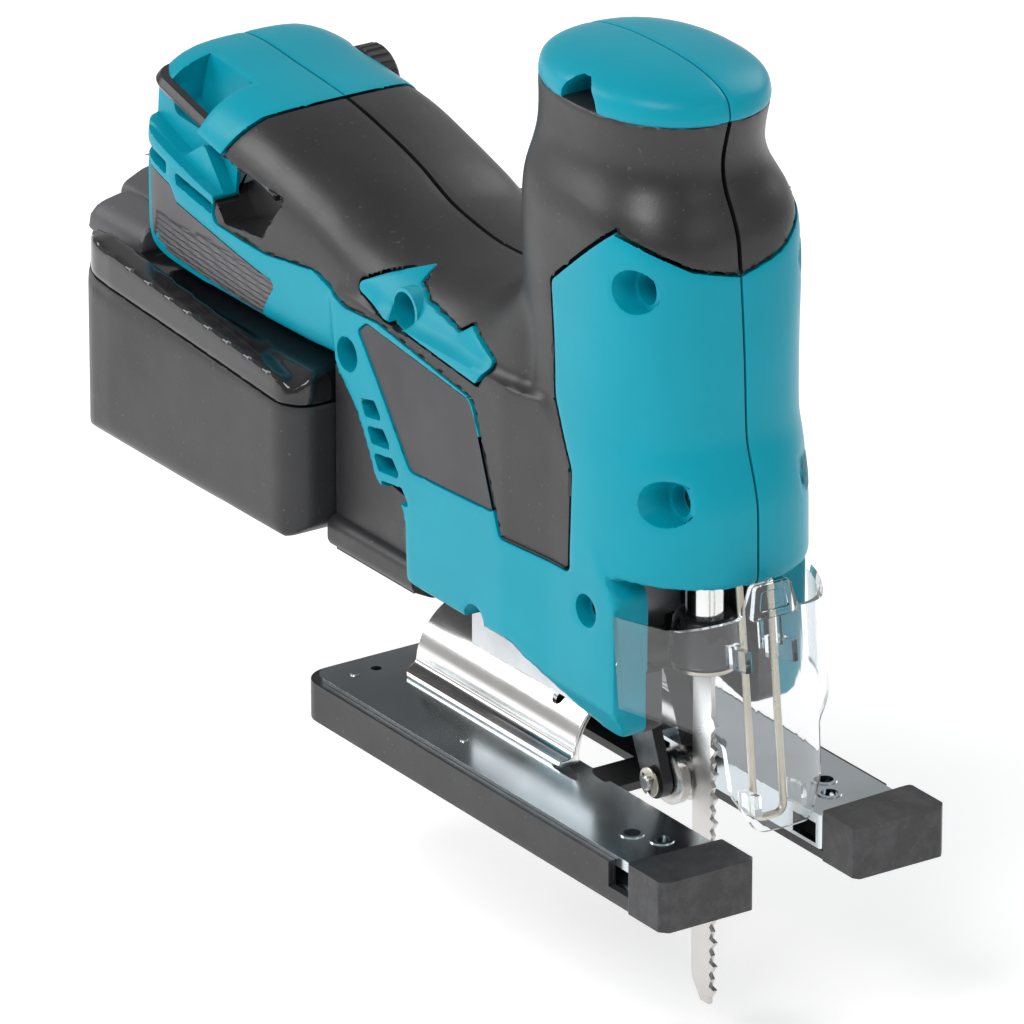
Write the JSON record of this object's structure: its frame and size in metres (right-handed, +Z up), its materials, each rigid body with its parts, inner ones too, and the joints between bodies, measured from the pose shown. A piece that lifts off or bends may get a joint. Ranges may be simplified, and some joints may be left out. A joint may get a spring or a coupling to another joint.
{
  "type": "cordless jigsaw",
  "caption": "Cordless barrel-grip jigsaw: clamshell body with upright head, tilting slotted base, reciprocating blade, clear chip cover and slide-on battery.",
  "frame": {"origin": "centre of the flat underside of the sole", "axes": "+X in the cutting direction, +Y to the tool's left, +Z up, away from the work"},
  "size_m": [0.2695, 0.077, 0.2285],
  "materials": {
    "teal_plastic": "fine moulded texture",
    "grip_rubber": "soft matte overmould",
    "black_plastic": "moulded, lightly textured",
    "gloss_black": "glossy moulded",
    "grey_plastic": "ribbed, satin",
    "clear_plastic": "clear moulded polycarbonate",
    "bright_steel": "pressed and plated",
    "machined_steel": "turned and ground",
    "black_steel": "black oxide",
    "cast_aluminium": "die cast",
    "sintered_bronze": "sintered",
    "circuit": "potted board",
    "cell_wrap": "wrapped cells",
    "contact_metal": "plated contacts"
  },
  "bodies": {
    "body": {"housing_right": "teal_plastic", "housing_left": "teal_plastic", "grip_right": "grip_rubber", "grip_left": "grip_rubber", "housing_screws": "black_steel", "nameplate": "black_plastic", "vent_cover_right": "grey_plastic", "vent_cover_left": "grey_plastic", "lower_cover": "black_plastic", "switch_unit": "black_plastic", "controller": "circuit", "terminal_block": "black_plastic", "motor_stator": "machined_steel", "rear_bearing": "machined_steel", "front_bearing": "machined_steel", "gear_bearing": "machined_steel", "gear_housing": "cast_aluminium", "upper_bush": "sintered_bronze", "lower_bush": "sintered_bronze", "bracket_pin": "machined_steel", "clamp_bolt": "black_steel", "clamp_plate": "machined_steel", "guard_wire": "bright_steel"},
    "rotor_body": {"rotor": "machined_steel", "fan": "black_plastic", "pinion": "machined_steel"},
    "gear_body": {"crank_gear": "machined_steel", "gear_shaft": "machined_steel", "crank_roller": "machined_steel"},
    "plunger_body": {"plunger": "machined_steel", "yoke": "machined_steel", "blade": "bright_steel", "clamp_spring": "contact_metal"},
    "clamp_body": {"clamp_collar": "black_steel"},
    "bracket_body": {"roller_bracket": "black_steel", "roller_pin": "machined_steel", "retaining_clip": "bright_steel"},
    "roller_body": {"guide_roller": "machined_steel"},
    "orbit_body": {"orbit_lever": "black_plastic", "orbit_cam": "machined_steel"},
    "base_body": {"base_plate": "bright_steel", "bevel_hump": "bright_steel", "sole_cover": "black_plastic"},
    "cover_body": {"chip_cover": "clear_plastic"},
    "battery_body": {"battery_case_upper": "gloss_black", "battery_case_lower": "black_plastic", "battery_cells": "cell_wrap", "battery_contacts": "contact_metal"},
    "release_body": {"release_button": "grey_plastic"},
    "charge_body": {"charge_button": "grey_plastic"},
    "switch_body": {"slide_switch": "black_plastic"},
    "dial_body": {"speed_dial": "black_plastic"},
    "wrench_body": {"hex_wrench": "black_steel"}
  },
  "joints": [
    {"name": "gear_spin", "type": "hinge", "parent": "body", "child": "gear_body", "pos_m": [0, 0, 0.10065], "axis": [1, 0, 0], "continuous": true},
    {"name": "motor_spin", "type": "hinge", "parent": "body", "child": "rotor_body", "pos_m": [0, 0, 0.076], "axis": [1, 0, 0], "continuous": true},
    {"name": "plunger_stroke", "type": "slide", "parent": "body", "child": "plunger_body", "axis": [0, 0, 1], "range_m": [-0.0115, 0.0115]},
    {"name": "clamp_turn", "type": "hinge", "parent": "plunger_body", "child": "clamp_body", "pos_m": [0.035, 0, 0.048], "axis": [0, 0, 1], "range_deg": [0, 60], "stiffness_Nm_per_rad": 0.05, "springref_deg": -11.46},
    {"name": "orbit_swing", "type": "hinge", "parent": "body", "child": "bracket_body", "pos_m": [0.014, 0, 0.038], "axis": [0, 1, 0], "range_deg": [0, 3]},
    {"name": "roller_spin", "type": "hinge", "parent": "bracket_body", "child": "roller_body", "pos_m": [0.02545, 0, 0.0115], "axis": [0, 1, 0], "continuous": true},
    {"name": "orbit_select", "type": "hinge", "parent": "body", "child": "orbit_body", "pos_m": [0.018, 0.03, 0.054], "axis": [0, 1, 0], "range_deg": [0, 90]},
    {"name": "base_bevel", "type": "hinge", "parent": "body", "child": "base_body", "pos_m": [0, 0, 0.012], "axis": [1, 0, 0], "range_deg": [-30, 30]},
    {"name": "cover_slide", "type": "slide", "parent": "body", "child": "cover_body", "axis": [-0.1219, 0, 0.9925], "range_m": [0, 0.01]},
    {"name": "battery_slide", "type": "slide", "parent": "body", "child": "battery_body", "axis": [-1, 0, 0], "range_m": [0, 0.06]},
    {"name": "release_press", "type": "slide", "parent": "battery_body", "child": "release_body", "axis": [0, 0, -1], "range_m": [0, 0.003], "stiffness_N_per_m": 800, "springref_m": -0.002},
    {"name": "charge_press", "type": "slide", "parent": "battery_body", "child": "charge_body", "axis": [1, 0, 0], "range_m": [0, 0.0008], "stiffness_N_per_m": 500, "springref_m": -0.001},
    {"name": "switch_slide", "type": "slide", "parent": "body", "child": "switch_body", "axis": [1, 0, 0], "range_m": [0, 0.006]},
    {"name": "dial_turn", "type": "hinge", "parent": "body", "child": "dial_body", "pos_m": [-0.14, 0.027, 0.124], "axis": [0, 1, 0], "range_deg": [0, 270]},
    {"name": "wrench_slide", "type": "slide", "parent": "body", "child": "wrench_body", "axis": [-0.9703, 0, 0.2419], "range_m": [0, 0.04]}
  ],
  "couplings": [
    {"joint": "motor_spin", "follows": "gear_spin", "ratio": -5}
  ]
}
